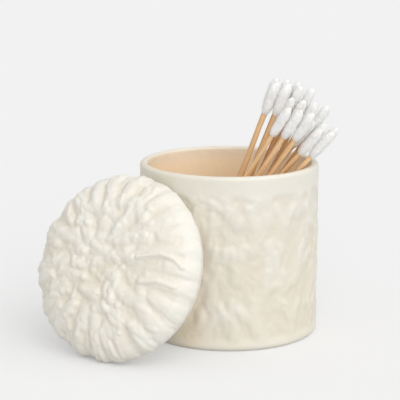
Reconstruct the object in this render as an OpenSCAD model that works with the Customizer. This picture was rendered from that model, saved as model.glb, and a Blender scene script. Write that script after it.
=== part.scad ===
// Round ceramic canister with a coral relief, its taken-off lid leaning against it,
// and a bunch of cotton swabs standing inside. Millimetres, +Z up, the origin at the
// middle of the canister's foot. The side towards -Y is the front.

/* [Canister] */
// Outside diameter of the plain band under the lip
body_diameter = 100; // [94:1:106]
// Height from the floor to the top of the lip
body_height = 96; // [90:1:102]
// Wall thickness at the lip
wall = 4.4; // [3.6:0.1:5.2]
// Thickness of the floor
floor_thickness = 6; // [4:0.5:8]
// Rounding between the floor and the bore
bore_fillet = 3; // [2:0.5:4]
// Rounding of the outer foot edge
foot_rounding = 3; // [2:0.5:4]
// Height of the plain band under the lip
plain_band = 9; // [6:1:13]

/* [Coral on the wall] */
// How far the coral stands out from the ground between its branches
wall_relief = 2; // [1.2:0.1:2.4]
// How far the ground lies behind the plain band
ground_depth = 1; // [0.5:0.1:1.4]
// Way over which the coral dies away towards the foot and the plain band
relief_fade = 5; // [4:0.5:8]
// Width of a branch where it grows into its neighbours
branch_width = 10.4; // [8:0.1:12]
// Number of coral sprigs around the wall
sprig_count = 17; // [14:1:20]

/* [Lid] */
// How far the lid's edge stands back from the plain band
lid_inset = 0.8; // [0:0.1:2]
// Height of the plain dome over its underside
dome_height = 19; // [15:1:23]
// Fullness of the dome's shoulder
dome_fullness = 2.8; // [2.2:0.1:3.4]
// Rounding of the seat edge
seat_rounding = 1.4; // [0.8:0.1:2]
// Thickness of the dome's shell
lid_shell = 5; // [4:0.5:7]
// Depth of the locating ring
ring_depth = 4; // [3:0.5:6]
// Wall of the locating ring
ring_wall = 3.2; // [2.4:0.1:4]
// Play between the locating ring and the bore, on the radius
ring_play = 0.7; // [0.3:0.1:1.2]
// How far the fingers stand out from the dome
lid_relief = 3.6; // [2.4:0.1:4.4]
// Way over which the fingers die away towards the seat edge
edge_fade = 4; // [3:0.5:8]
// Width of a finger where it grows into its neighbours
finger_width = 9; // [7:0.1:10.5]

/* [Lid at rest] */
// Turn of the lid's face to the left, seen from the front
lid_turn = 31; // [21:1:41]
// How far the lid leans back from upright
lid_lean = 22; // [16:1:28]
// Side of the canister that the lid leans on, from the front towards the left
lid_bearing = 50; // [43:1:57]
// Play between the leaning lid and the canister
lid_gap = 0.15; // [0.05:0.05:0.3]

/* [Swabs] */
// Length of a swab
swab_length = 145; // [140:1:155]
// Diameter of a stick
stick_diameter = 2.6; // [2:0.1:3]
// Diameter of a cotton head
head_diameter = 5.6; // [5:0.1:5.7]
// Length of a cotton head
head_length = 18.5; // [15:0.5:22]
// How deep the stick reaches into its head
head_grip = 13; // [9:0.5:15]
// Play between neighbouring heads
swab_gap = 0.2; // [0.1:0.05:0.4]
// Play between neighbouring feet
foot_gap = 0.5; // [0.3:0.1:1]
// Lean of the whole bunch towards the front
bunch_lean = 8; // [4:1:12]

/* [Hidden] */
$fn = 96;
body_r = body_diameter / 2;
bore_r = body_r - wall;
lip_outer = 0.45 * wall;
lip_inner = 0.4 * wall;
column_count = 144;
row_count = 19;
lip_steps = 3;
sprig_rows = 5;
ring_count = 34;
dome_rings = 32;

lid_r = body_r - lid_inset;
ring_r = bore_r - ring_play;
lid_cavity_r = ring_r - ring_wall;

stick_r = stick_diameter / 2;
head_r = head_diameter / 2;
foot_step = stick_diameter + foot_gap;
head_step = head_diameter + swab_gap;

glaze = [0.93, 0.91, 0.85];
wood = [0.80, 0.62, 0.42];
cotton = [0.97, 0.97, 0.97];

// A number between 0 and 1 that is the same for the same pair every time.
function spread(i, k) = let (v = sin(i * 127.1 + k * 311.7 + 41) * 437.58) v - floor(v);

// A branch is [x, y, run x, run y, start width, end width, start height, end height].
function branch(x, y, heading, length, w0, w1, h0, h1) =
    [x, y, length * sin(heading), length * cos(heading), w0, w1, h0, h1];

// Height of one rounded branch over a point that lies at p from the branch's start.
function branch_height(p, b) =
    let (run = [b[2], b[3]],
         t = max(0, min(1, (p * run) / (run * run))),
         u = 2 * norm(p - t * run) / (b[4] + t * (b[5] - b[4])))
    u < 1 ? (b[6] + t * (b[7] - b[6])) * (1 - u * u) : 0;

// A short stem that forks into two fingers.
function sprig(x, y, heading, length, width, top, seed) =
    let (tip_x = x + length * sin(heading), tip_y = y + length * cos(heading), narrow = width * 0.9)
    [branch(x, y, heading, length, width, width, top * 0.8, top),
     branch(tip_x, tip_y, heading - 18 - 22 * spread(seed, 1), length * (0.85 + 0.3 * spread(seed, 2)),
        narrow, width * 0.8, top, 0.95),
     branch(tip_x, tip_y, heading + 16 + 22 * spread(seed, 3), length * (0.85 + 0.3 * spread(seed, 4)),
        narrow, width * 0.8, top, 0.85)];

// The wall's coral, on the wall laid flat: x runs around, y runs up. The sprigs stand in rows,
// each row half a step on from the one below, and grow into one another.
relief_foot = foot_rounding;
relief_top = body_height - plain_band;
relief_span = relief_top - relief_foot;
function wall_coral() = [
    for (row = [0:sprig_rows - 1]) for (i = [0:sprig_count - 1])
        let (seed = 20 * row + i, pitch = 2 * PI * body_r / sprig_count)
        for (b = sprig((i + row % 2 * 0.5 + 0.35 * spread(seed, 7)) * pitch,
                relief_foot + relief_span * (row + 0.3 * spread(seed, 6)) / sprig_rows,
                80 * spread(seed, 8) - 40, relief_span * (0.1 + 0.04 * spread(seed, 9)),
                branch_width * (0.8 + 0.35 * spread(seed, 11)), 0.55 + 0.35 * spread(seed, 10), seed)) b];

// A way around the wall, brought to the shorter side.
function wrap(x) = let (c = 2 * PI * body_r) x - c * floor(x / c + 0.5);
function near_wall(x, branches) =
    [for (b = branches) if (abs(wrap(x - b[0] - b[2] / 2)) < abs(b[2]) / 2 + b[4] / 2) b];
function smooth(t) = let (a = max(0, min(1, t))) a * a * (3 - 2 * a);
function fade(z) = smooth((z - foot_rounding) / relief_fade) * smooth((relief_top - z) / relief_fade);
function wall_radius(x, z, near) =
    let (heights = [for (b = near) branch_height([wrap(x - b[0]), z - b[1]], b)])
    body_r + fade(z) * (wall_relief * max(concat([0], heights)) - ground_depth);

// The outer side of the wall from the foot to the lip: [stand-back, height] of each row.
foot_rows = [for (k = [0:lip_steps - 1]) let (a = 90 * k / lip_steps)
    [foot_rounding * (1 - sin(a)) * 0.8, foot_rounding * (1 - cos(a))]];
wall_rows = [for (k = [0:row_count]) [0, foot_rounding + (relief_top - foot_rounding) * k / row_count]];
lip_rows = [for (k = [0:lip_steps]) let (a = 90 * k / lip_steps)
    [lip_outer * (1 - cos(a)), body_height - lip_outer * (1 - sin(a))]];
rows = concat(foot_rows, wall_rows, lip_rows);

module skin() {
    branches = wall_coral();
    n = len(rows);
    points = [for (c = [0:column_count - 1])
        let (a = 360 * c / column_count, x = 2 * PI * body_r * c / column_count,
             near = near_wall(x, branches))
        for (row = rows)
            let (r = wall_radius(x, row[1], near) - row[0])
            [r * cos(a - 90), r * sin(a - 90), row[1]]];
    sides = [for (c = [0:column_count - 1]) for (k = [0:n - 2])
        let (a = c * n + k, b = ((c + 1) % column_count) * n + k)
        for (face = (c + k) % 2 == 0
            ? [[a, b + 1, b], [a, a + 1, b + 1]]
            : [[a, a + 1, b], [a + 1, b + 1, b]]) face];
    foot = [for (c = [0:column_count - 1]) c * n];
    crest = [for (c = [column_count - 1:-1:0]) c * n + n - 1];
    polyhedron(points, concat(sides, [foot, crest]));
}

// The space inside, from the axis out to the bore, opening over the lip.
module bore() {
    fillet = [for (k = [0:6]) let (a = 15 * k)
        [bore_r - bore_fillet * (1 - sin(a)), floor_thickness + bore_fillet * (1 - cos(a))]];
    mouth = [for (k = [0:5]) let (a = 18 * k)
        [bore_r + lip_inner * (1 - cos(a)), body_height - lip_inner * (1 - sin(a))]];
    rotate_extrude()
        polygon(concat([[0, floor_thickness]], fillet, mouth,
            [[bore_r + lip_inner, body_height + 1], [0, body_height + 1]]));
}

module canister() {
    color(glaze)
    difference() {
        skin();
        bore();
    }
}

// The dome's section from the crown down to the seat edge, in steps of one degree.
function dome_point(t) =
    [lid_r * pow(sin(t), 2 / dome_fullness),
     seat_rounding + (dome_height - seat_rounding) * pow(cos(t), 2 / dome_fullness)];
dome_line = [for (t = [0:90]) dome_point(t)];
dome_way = [for (i = 0, s = 0; i <= 90;
    s = s + (i < 90 ? norm(dome_line[i + 1] - dome_line[i]) : 0), i = i + 1) [s, i]];
dome_reach = dome_way[90][0];

// The lid's coral, on the dome laid flat from its crown: x runs right, y runs up the face.
// The knobs that crowd round the crown are [x, y, heading, length, height], the lengths in
// hundredths of the way from the crown to the seat edge.
knobs = [[-2, 57, 82, 22, 0.9], [22, 54, 135, 10, 1], [5, 31, 30, 10, 1], [2, 21, 76, 16, 0.9],
    [24, 28, 84, 12, 0.85], [-9, 29, -10, 9, 0.7], [-16, 19, 60, 7, 0.9], [-29, 31, 150, 14, 0.85],
    [-29, 35, -80, 9, 1], [-57, 21, 82, 17, 0.8], [-36, 16, 128, 12, 0.9], [-12, 10, 80, 9, 0.85],
    [3, 5, 64, 19, 0.8], [26, 7, 70, 9, 0.9], [-16, 0, 80, 10, 0.8], [5, -9, 100, 9, 0.85],
    [14, -14, 135, 12, 0.9], [26, -24, 112, 9, 0.9], [10, -21, 150, 9, 1], [42, -16, 168, 10, 0.9],
    [-16, -26, 105, 12, 1], [-24, -35, 200, 12, 0.85], [0, -42, 70, 10, 0.9], [14, -54, 150, 10, 0.8],
    [-12, -45, 185, 14, 0.8], [-43, -3, -95, 14, 0.8], [-47, -14, 85, 12, 0.8], [-38, -22, -110, 16, 0.8],
    [-21, -14, -100, 10, 0.75], [-22, -5, -85, 10, 0.8], [-42, 45, -40, 14, 0.8], [-19, 47, -60, 12, 0.8],
    [-5, 45, -20, 9, 0.75], [38, 42, 65, 14, 0.7], [22, -38, 160, 14, 0.75]];

// The arched edges of one open leaf at the right, as [x, y, heading, length, width, height].
leaf = [[35, 10, 74, 22, 0.6, 0.95], [56, 16, 97, 10, 0.6, 0.9], [67, 15, 125, 12, 0.6, 0.7],
    [42, -11, 78, 17, 0.65, 0.75], [59, -8, 100, 14, 0.65, 0.6]];
ridge_count = 26;

// A low ridge that runs out to the edge and forks on its way.
function ridge(at, from, heading, length, seed) =
    let (width = finger_width * (0.96 + 0.2 * spread(seed, 21)),
         top = 0.6 + 0.3 * spread(seed, 22),
         prong = dome_reach * 0.2,
         x = from * sin(at),
         y = from * cos(at),
         end_x = x + length * sin(heading),
         end_y = y + length * cos(heading))
    [branch(x, y, heading, length, width * 0.8, width, top, top * 0.9),
     branch(end_x, end_y, heading - 9 - 9 * spread(seed, 20), prong, width, width, top * 0.9, 0.55),
     branch(end_x, end_y, heading + 9 + 9 * spread(seed, 23), prong, width, width, top * 0.85, 0.55)];

function lid_coral() =
    let (share = dome_reach / 100)
    concat(
    [for (i = [0:len(knobs) - 1])
        let (k = knobs[i], width = finger_width * (0.88 + 0.25 * spread(i, 11)))
        branch(k[0] * share, k[1] * share, k[2], k[3] * share, width * 0.85, width, k[4] * 0.7, k[4])],
    [for (e = leaf)
        branch(e[0] * share, e[1] * share, e[2], e[3] * share, finger_width * e[4], finger_width * e[4],
            e[5], e[5] * 0.9)],
    [for (i = [0:ridge_count - 1])
        let (at = 360 * (i + 0.35 * spread(i, 17)) / ridge_count, from = i % 2 == 0 ? 0.6 : 0.45)
        for (b = ridge(at, dome_reach * (from + 0.05 * spread(i, 18)), at + 22 * spread(i, 19) - 11,
            dome_reach * (0.78 - from), i)) b]);

// Each ring of the dome has six points more than the one inside it.
function ring_start(k) = k == 0 ? 0 : 1 + 3 * k * (k - 1);
function dome_ring(k) =
    k > dome_rings
        ? let (a = 45 * (k - dome_rings))
          [lid_r - seat_rounding * (1 - cos(a)), seat_rounding * (1 - sin(a)), 0, 0, dome_reach]
        : let (q = dome_reach * k / dome_rings, t = lookup(q, dome_way),
               p = dome_point(t), ahead = dome_point(min(90, t + 1)), back = dome_point(max(0, t - 1)),
               run = ahead - back, out = [-run[1], run[0]] / norm(run))
          [p[0], p[1], k == 0 ? 0 : out[0], k == 0 ? 1 : out[1], q];
function lid_points() =
    let (branches = lid_coral())
    [for (k = [0:ring_count])
        let (ring = dome_ring(k), q = ring[4], strength = lid_relief * smooth((dome_reach - q) / edge_fade))
        for (i = [0:max(0, 6 * k - 1)])
            let (a = k == 0 ? 0 : 60 * i / k, flat = [q * sin(a), q * cos(a)],
                 h = strength == 0 ? 0 : strength
                     * max([for (b = branches) branch_height(flat - [b[0], b[1]], b)]),
                 r = ring[0] + h * ring[2])
            [r * sin(a), r * cos(a), ring[1] + h * ring[3]]];

module dome(points) {
    skin = [for (k = [0:ring_count - 1]) for (s = [0:5]) for (j = [0:k])
        let (inner = ring_start(k), outer = ring_start(k + 1), n = max(1, 6 * k), m = 6 * (k + 1),
             a = inner + (s * k + j) % n, b = inner + (s * k + j + 1) % n,
             c = outer + (s * (k + 1) + j) % m, d = outer + (s * (k + 1) + j + 1) % m)
        for (face = j < k ? [[a, c, d], [a, d, b]] : [[a, c, d]]) face];
    last = ring_start(ring_count);
    polyhedron(points, concat(skin, [[for (i = [6 * ring_count - 1:-1:0]) last + i]]));
}

// A point of the lid, turned as the lid stands.
function stood(p) =
    let (back = p[1] * sin(lid_lean) - p[2] * cos(lid_lean))
    [p[0] * cos(lid_turn) + back * sin(lid_turn), back * cos(lid_turn) - p[0] * sin(lid_turn),
     p[1] * cos(lid_lean) + p[2] * sin(lid_lean)];

// Where the standing lid touches the floor, and the wall that it leans on.
function lid_place(points) =
    let (branches = wall_coral(),
         ring = [for (a = [0:2:358]) stood([ring_r * cos(a), ring_r * sin(a), -ring_depth])],
         body = concat([for (p = points) stood(p)], ring),
         lift = -min([for (p = body) p[2]]),
         side = [-sin(lid_bearing), -cos(lid_bearing)],
         widest = body_r + wall_relief,
         reach = [for (p = body) if (p[2] + lift < body_height)
             let (flat = [p[0], p[1]], along = flat * side, off = norm(flat - along * side))
             if (off < widest) [sqrt(widest * widest - off * off) - along, p, along, off]],
         far = max([for (e = reach) e[0]]),
         near = [for (e = reach) if (e[0] > far - 2 * wall_relief)
             let (p = e[1], x = p[0] + far * side[0], y = p[1] + far * side[1], z = p[2] + lift,
                  round_x = body_r * atan2(x, -y) * PI / 180,
                  r = wall_radius(round_x, z, near_wall(round_x, branches)) + lid_gap)
             sqrt(r * r - e[3] * e[3]) - e[2]])
    [max(near) * side[0], max(near) * side[1], lift];

module lid_cavity() {
    roof = [for (t = [0:9:90])
        [lid_cavity_r * pow(sin(t), 2 / dome_fullness),
         (dome_height - lid_shell) * pow(cos(t), 2 / dome_fullness)]];
    rotate_extrude()
        polygon(concat([[0, -ring_depth - 1]], roof, [[lid_cavity_r, -ring_depth - 1]]));
}

module lid() {
    points = lid_points();
    color(glaze)
    translate(lid_place(points))
    rotate([90 - lid_lean, 0, -lid_turn])
    difference() {
        union() {
            dome(points);
            translate([0, 0, -ring_depth]) cylinder(r = ring_r, h = ring_depth + 1);
        }
        lid_cavity();
    }
}

// The swabs stand in upright layers from the front to the back. Each layer is
// [foot share, rim share, count]: how far left its first foot stands and how far right
// its last stick crosses the mouth, as shares of the room there.
layers = [[1, 0.68, 3], [1, 1, 2], [0.52, 0.34, 2], [1, 0.98, 3],
    [0.85, 0.78, 4], [0.65, 0.62, 4], [0.6, 0.5, 3]];
first_layer_y = -0.26 * bore_r;
layer_step = head_step / cos(bunch_lean);
mouth_z = body_height - lip_inner;
rise = (mouth_z - floor_thickness) / cos(bunch_lean);
foot_reach = bore_r - bore_fillet + stick_r * 0.3;
steepest = atan((foot_reach + bore_r) / rise);
mouth_reach = bore_r + lip_inner - (lip_inner + stick_r + swab_gap) / cos(steepest);
fan = asin((head_step - foot_step) / (swab_length - 0.7 * head_length));

swabs = [for (k = [0:len(layers) - 1])
    let (layer = layers[k], last = layer[2] - 1, y = first_layer_y + k * layer_step,
         mouth_y = y - (mouth_z - floor_thickness) * tan(bunch_lean),
         left = -layer[0] * sqrt(foot_reach * foot_reach - y * y),
         right = layer[1] * sqrt(mouth_reach * mouth_reach - mouth_y * mouth_y),
         step = foot_step / cos(atan((right - left) / rise)),
         steep = atan((right - left - last * step) / rise))
    for (j = [0:last])
        let (lean = steep - (last - j) * fan,
             upright = cos(lean) * cos(bunch_lean))
        [left + j * step, y, floor_thickness + stick_r * sqrt(1 - upright * upright), lean]];

module swab_frame(i) {
    translate([swabs[i][0], swabs[i][1], swabs[i][2]])
    rotate([bunch_lean, 0, 0])
    rotate([0, swabs[i][3], 0])
        children();
}

module swab_stick(i) {
    color(wood)
    swab_frame(i)
        cylinder(r = stick_r, h = swab_length - head_length + head_grip, $fn = 32);
}

module swab_cotton(i) {
    tip = head_length * 0.3;
    round_tip = [for (a = [0:15:90]) [head_r * cos(a), head_length - tip * (1 - sin(a))]];
    color(cotton)
    swab_frame(i)
    translate([0, 0, swab_length - head_length])
    rotate_extrude($fn = 32)
        polygon(concat([[stick_r, 0], [head_r * 0.6, 0], [head_r * 0.84, head_length * 0.12],
            [head_r, head_length * 0.3]], round_tip, [[0, head_grip], [stick_r, head_grip]]));
}

function numbered(name, i) = str(name, i < 9 ? "0" : "", i + 1);

canister();
lid();
for (i = [0:len(swabs) - 1]) {
    swab_stick(i);
    swab_cotton(i);
}
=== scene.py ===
"""The coral canister with its lid leaning on it and swabs standing inside, dressed for the camera.

Sizes are in millimetres where a class holds them and become metres when a mesh is made. The frame's
origin is the middle of the canister's foot, +Z is up and the front looks towards -Y.
"""

import logging
import math
from dataclasses import dataclass, field
from enum import Enum

import bpy
import numpy as np
from mathutils import Matrix, Vector, noise


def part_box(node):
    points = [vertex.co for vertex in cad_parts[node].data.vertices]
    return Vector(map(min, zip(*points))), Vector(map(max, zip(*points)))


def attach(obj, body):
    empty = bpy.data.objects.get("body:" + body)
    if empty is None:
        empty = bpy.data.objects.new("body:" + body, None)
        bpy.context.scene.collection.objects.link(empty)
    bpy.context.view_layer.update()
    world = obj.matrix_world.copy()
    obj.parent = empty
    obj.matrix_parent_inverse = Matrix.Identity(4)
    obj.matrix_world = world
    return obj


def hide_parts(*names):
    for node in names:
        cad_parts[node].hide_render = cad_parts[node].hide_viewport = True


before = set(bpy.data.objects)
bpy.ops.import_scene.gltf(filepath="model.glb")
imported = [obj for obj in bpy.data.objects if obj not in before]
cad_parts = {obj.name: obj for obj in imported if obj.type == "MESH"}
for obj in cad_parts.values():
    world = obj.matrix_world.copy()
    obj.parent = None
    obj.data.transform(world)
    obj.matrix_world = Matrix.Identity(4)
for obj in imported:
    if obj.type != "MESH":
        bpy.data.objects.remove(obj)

LOG = logging.getLogger("canister")
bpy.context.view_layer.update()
MM = 0.001
SEED_STEPS = (7.3, 3.1, 5.7)
# Where the darker, warmer tone of the hollows starts under the relief's tops, and over what depth it grows:
# partly glaze that pools, partly painted crease shade.
POOL_SHADE_TOP, POOL_SHADE_DEPTH = 0.62, 0.45
GOLDEN_SHARE, GOLDEN_ANGLE = 0.618034, 137.508
FULL, SOFT_STEP = (0.0, 1.0), (0.35, 0.65)

Socket = bpy.types.NodeSocket
Face = tuple[int, ...]
Pair = tuple[float, float]
Shape = tuple[np.ndarray, list[Face]]


class Body(Enum):
    """The bodies that pieces ride on."""

    ROOT = "root"


class Slot(Enum):
    """The record's material slots."""

    CANISTER = "canister_glaze"
    LID = "lid_glaze"
    STICK = "stick_wood"
    COTTON = "cotton"


class Tone(Enum):
    """The colours of the finishes, as they look in even light (sRGB, 0 to 255)."""

    IVORY = (233, 230, 221)
    IVORY_WARM = (230, 224, 207)
    # Darker, warmer tone of the hollows: partly glaze that pools there, partly painted crease shade.
    IVORY_POOL_SHADE = (222, 211, 189)
    # Painted warm light, standing for light thrown back from the leaning lid onto the canister's wall.
    PAINTED_BOUNCE = (252, 233, 203)
    # The canister's ivory painted lighter for the lid: a lit copy of the same glaze.
    IVORY_LIT = (237, 234, 225)
    IVORY_LIT_WARM = (234, 229, 216)
    # The bore's peach: partly the inner glaze's own colour, partly painted warm interreflected light.
    PEACH = (255, 236, 206)
    PEACH_DEEP = (255, 228, 192)
    WOOD_PALE = (243, 206, 158)
    WOOD = (230, 187, 137)
    WOOD_DARK = (178, 124, 76)
    COTTON = (245, 244, 242)
    COTTON_SHADE = (234, 233, 231)
    FLOOR = (207, 207, 207)

    @property
    def linear(self) -> tuple[float, float, float, float]:
        """The colour as a shader takes it.

        Returns:
            Red, green, blue and 1.
        """
        shares = [c / 255 for c in self.value]
        red, green, blue = (c / 12.92 if c <= 0.04045 else ((c + 0.055) / 1.055) ** 2.4 for c in shares)
        return (red, green, blue, 1.0)


def spread(i: float, k: float) -> float:
    """A number between 0 and 1 that is the same for the same pair every time.

    Args:
        i: Number of the piece.
        k: Number of the choice made for it.

    Returns:
        The number.
    """
    value = math.sin(math.radians(i * 127.1 + k * 311.7 + 41)) * 437.58
    return value - math.floor(value)


def smooth(t: np.ndarray | float) -> np.ndarray:
    """Eases from 0 to 1 while t goes from 0 to 1, and stays there outside."""
    a = np.clip(t, 0.0, 1.0)
    return a * a * (3 - 2 * a)


def pooled_and_shaded(share: np.ndarray) -> np.ndarray:
    """How deep the darker, warmer tone lies at each height of a relief, partly glaze that pools there and
    partly painted crease shade: 0 on its tops, 1 in its hollows.
    """
    return np.clip((POOL_SHADE_TOP - share) / POOL_SHADE_DEPTH, 0, 1)


def sin_deg(angle: float) -> float:
    """Sine of an angle in degrees."""
    return math.sin(math.radians(angle))


def cos_deg(angle: float) -> float:
    """Cosine of an angle in degrees."""
    return math.cos(math.radians(angle))


@dataclass(frozen=True)
class Swell:
    """One size of the soft unevenness that a hand-worked surface keeps.

    Args:
        wavelength: Size of one swell in millimetres.
        height: Its height.
        seed: Shifts the pattern, so that pieces differ.
    """

    wavelength: float
    height: float
    seed: float

    def over(self, points: np.ndarray) -> np.ndarray:
        """Height of the swell at each place, one place per row."""
        shift = Vector([self.seed * step for step in SEED_STEPS])
        return self.height * np.array([noise.noise(Vector(p) / self.wavelength + shift) for p in points])


@dataclass(frozen=True)
class Branch:
    """One rounded branch of coral, laid on flat ground.

    Args:
        x: Start of its centre line to the right.
        y: Start of its centre line upwards.
        heading: Direction from straight up, turning right, in degrees.
        length: Length of the centre line.
        widths: Width at the start and at the end.
        heights: Height at the start and at the end, as shares of the relief.
    """

    x: float
    y: float
    heading: float
    length: float
    widths: Pair
    heights: Pair

    @property
    def run(self) -> np.ndarray:
        """The way from the start to the end."""
        return np.array([self.length * sin_deg(self.heading), self.length * cos_deg(self.heading)])

    def lift(self, offsets: np.ndarray) -> np.ndarray:
        """Height of the branch over places measured from its start.

        Args:
            offsets: One place per row.

        Returns:
            The heights, 0 outside the branch.
        """
        run = self.run
        t = np.clip(offsets @ run / (run @ run), 0.0, 1.0)
        half = (self.widths[0] + t * (self.widths[1] - self.widths[0])) / 2
        u = np.linalg.norm(offsets - t[:, None] * run, axis=1) / half
        rise = self.heights[0] + t * (self.heights[1] - self.heights[0])
        return np.where(u < 1, rise * (1 - u * u), 0.0)


@dataclass
class Relief:
    """A field of branches on flat ground, which may close on itself around a wall.

    Args:
        branches: The branches.
        girth: Way around the wall, or None on ground that doesn't close.
        softness: Radius over which the creases are softened.
        samples: Places on that radius that are looked at.
    """

    branches: list[Branch]
    girth: float | None = None
    softness: float = 0.35
    samples: int = 6

    def _sharp(self, points: np.ndarray) -> np.ndarray:
        """Height of the highest branch over each place.

        Args:
            points: One place per row.

        Returns:
            The heights, 0 on bare ground.
        """
        best = np.zeros(len(points))
        order = np.argsort(points[:, 0])
        across = points[order, 0]
        turns = (0.0,) if self.girth is None else (-self.girth, 0.0, self.girth)
        for branch in self.branches:
            reach = branch.length + max(branch.widths)
            for turn in turns:
                start = np.array([branch.x + turn, branch.y])
                low, high = np.searchsorted(across, (start[0] - reach, start[0] + reach))
                near = order[low:high]
                near = near[np.abs(points[near, 1] - start[1]) < reach]
                if len(near):
                    best[near] = np.maximum(best[near], branch.lift(points[near] - start))
        return best

    def heights(self, points: np.ndarray) -> np.ndarray:
        """Height of the relief over each place, with softened creases.

        Args:
            points: One place per row.

        Returns:
            The heights as shares of the relief.
        """
        total = 2 * self._sharp(points)
        for step in range(self.samples):
            angle = 360 * step / self.samples
            total += self._sharp(points + self.softness * np.array([cos_deg(angle), sin_deg(angle)]))
        return total / (2 + self.samples)


def sprig(start: Pair, heading: float, length: float, width: float, top: float, seed: int) -> list[Branch]:
    """A short stem that forks into two fingers.

    Args:
        start: Start to the right and upwards.
        heading: Direction from straight up, in degrees.
        length: Length of the stem.
        width: Width of the stem.
        top: Height where it forks, as a share of the relief.
        seed: Number that makes this sprig differ from the others.

    Returns:
        The stem and its fingers.
    """
    stem = Branch(*start, heading, length, (width, width), (top * 0.8, top))
    tip_x, tip_y = start + stem.run
    branches = [stem]
    for side, least, key, tip in ((-1, 18, 1, 0.95), (1, 16, 3, 0.85)):
        way = heading + side * (least + 22 * spread(seed, key))
        reach = length * (0.85 + 0.3 * spread(seed, key + 1))
        branches.append(Branch(tip_x, tip_y, way, reach, (width * 0.9, width * 0.8), (top, tip)))
    return branches


def new_object(name: str, points: np.ndarray, faces: list[Face]) -> bpy.types.Object:
    """Makes a smooth mesh object.

    Args:
        name: Name of the piece.
        points: Its points in millimetres.
        faces: Its faces, as rows of point numbers.

    Returns:
        The object, linked into the scene.
    """
    mesh = bpy.data.meshes.new(name)
    mesh.from_pydata((points * MM).tolist(), [], faces)
    mesh.update()
    mesh.shade_smooth()
    piece = bpy.data.objects.new(name, mesh)
    bpy.context.scene.collection.objects.link(piece)
    return piece


def set_share(piece: bpy.types.Object, name: str, values: np.ndarray) -> None:
    """Keeps a value for each point of a mesh, which its finish reads.

    Args:
        piece: The mesh object.
        name: Name of the value.
        values: One value per point; points after the last one given keep 0.
    """
    layer = piece.data.attributes.new(name, "FLOAT", "POINT")
    kept = np.zeros(len(piece.data.vertices), np.float32)
    kept[: len(values)] = values
    layer.data.foreach_set("value", kept)


def set_wrap(piece: bpy.types.Object, flat: np.ndarray) -> None:
    """Lays a mesh flat for finishes whose grain follows the piece.

    Args:
        piece: The mesh object.
        flat: Flat place of each point, one per row.
    """
    layer = piece.data.uv_layers.new(name="grain")
    corners = np.empty(len(piece.data.loops), np.int64)
    piece.data.loops.foreach_get("vertex_index", corners)
    layer.data.foreach_set("uv", flat[corners].astype(np.float32).ravel())


def revolve(reach: np.ndarray, height: np.ndarray, columns: int) -> np.ndarray:
    """Turns rows of points around +Z, the first column at the front.

    Args:
        reach: Radius of each point, row by row.
        height: Height of each point, row by row.
        columns: Points in a row.

    Returns:
        The points, counterclockwise from above in each row.
    """
    turn = np.tile(2 * math.pi * np.arange(columns) / columns, len(reach) // columns) - math.pi / 2
    return np.column_stack([reach * np.cos(turn), reach * np.sin(turn), height])


def band_faces(start: int, columns: int, rows: int) -> list[Face]:
    """Faces of a closed band of points stored row by row.

    Args:
        start: Number of the first point.
        columns: Points in a row.
        rows: Rows of points.

    Returns:
        The faces, facing outwards where rows rise and columns run counterclockwise from above.
    """
    base = start + np.arange(rows - 1)[:, None] * columns
    here = np.arange(columns)[None, :]
    after = (here + 1) % columns
    quads = np.stack([base + here, base + after, base + columns + after, base + columns + here], axis=-1)
    return [tuple(q) for q in quads.reshape(-1, 4).tolist()]


def cap_faces(start: int, columns: int, middle: int) -> list[Face]:
    """Faces from a row of points, by the number of its first, to the point in its middle."""
    return [(start + i, start + (i + 1) % columns, middle) for i in range(columns)]


def closed_faces(columns: int, rows: int) -> list[Face]:
    """Faces of a band closed at both ends, whose two middle points follow its rows.

    Args:
        columns: Points in a row.
        rows: Rows of points.

    Returns:
        The faces.
    """
    total = columns * rows
    low = [face[::-1] for face in cap_faces(0, columns, total)]
    return band_faces(0, columns, rows) + low + cap_faces(total - columns, columns, total + 1)


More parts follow.
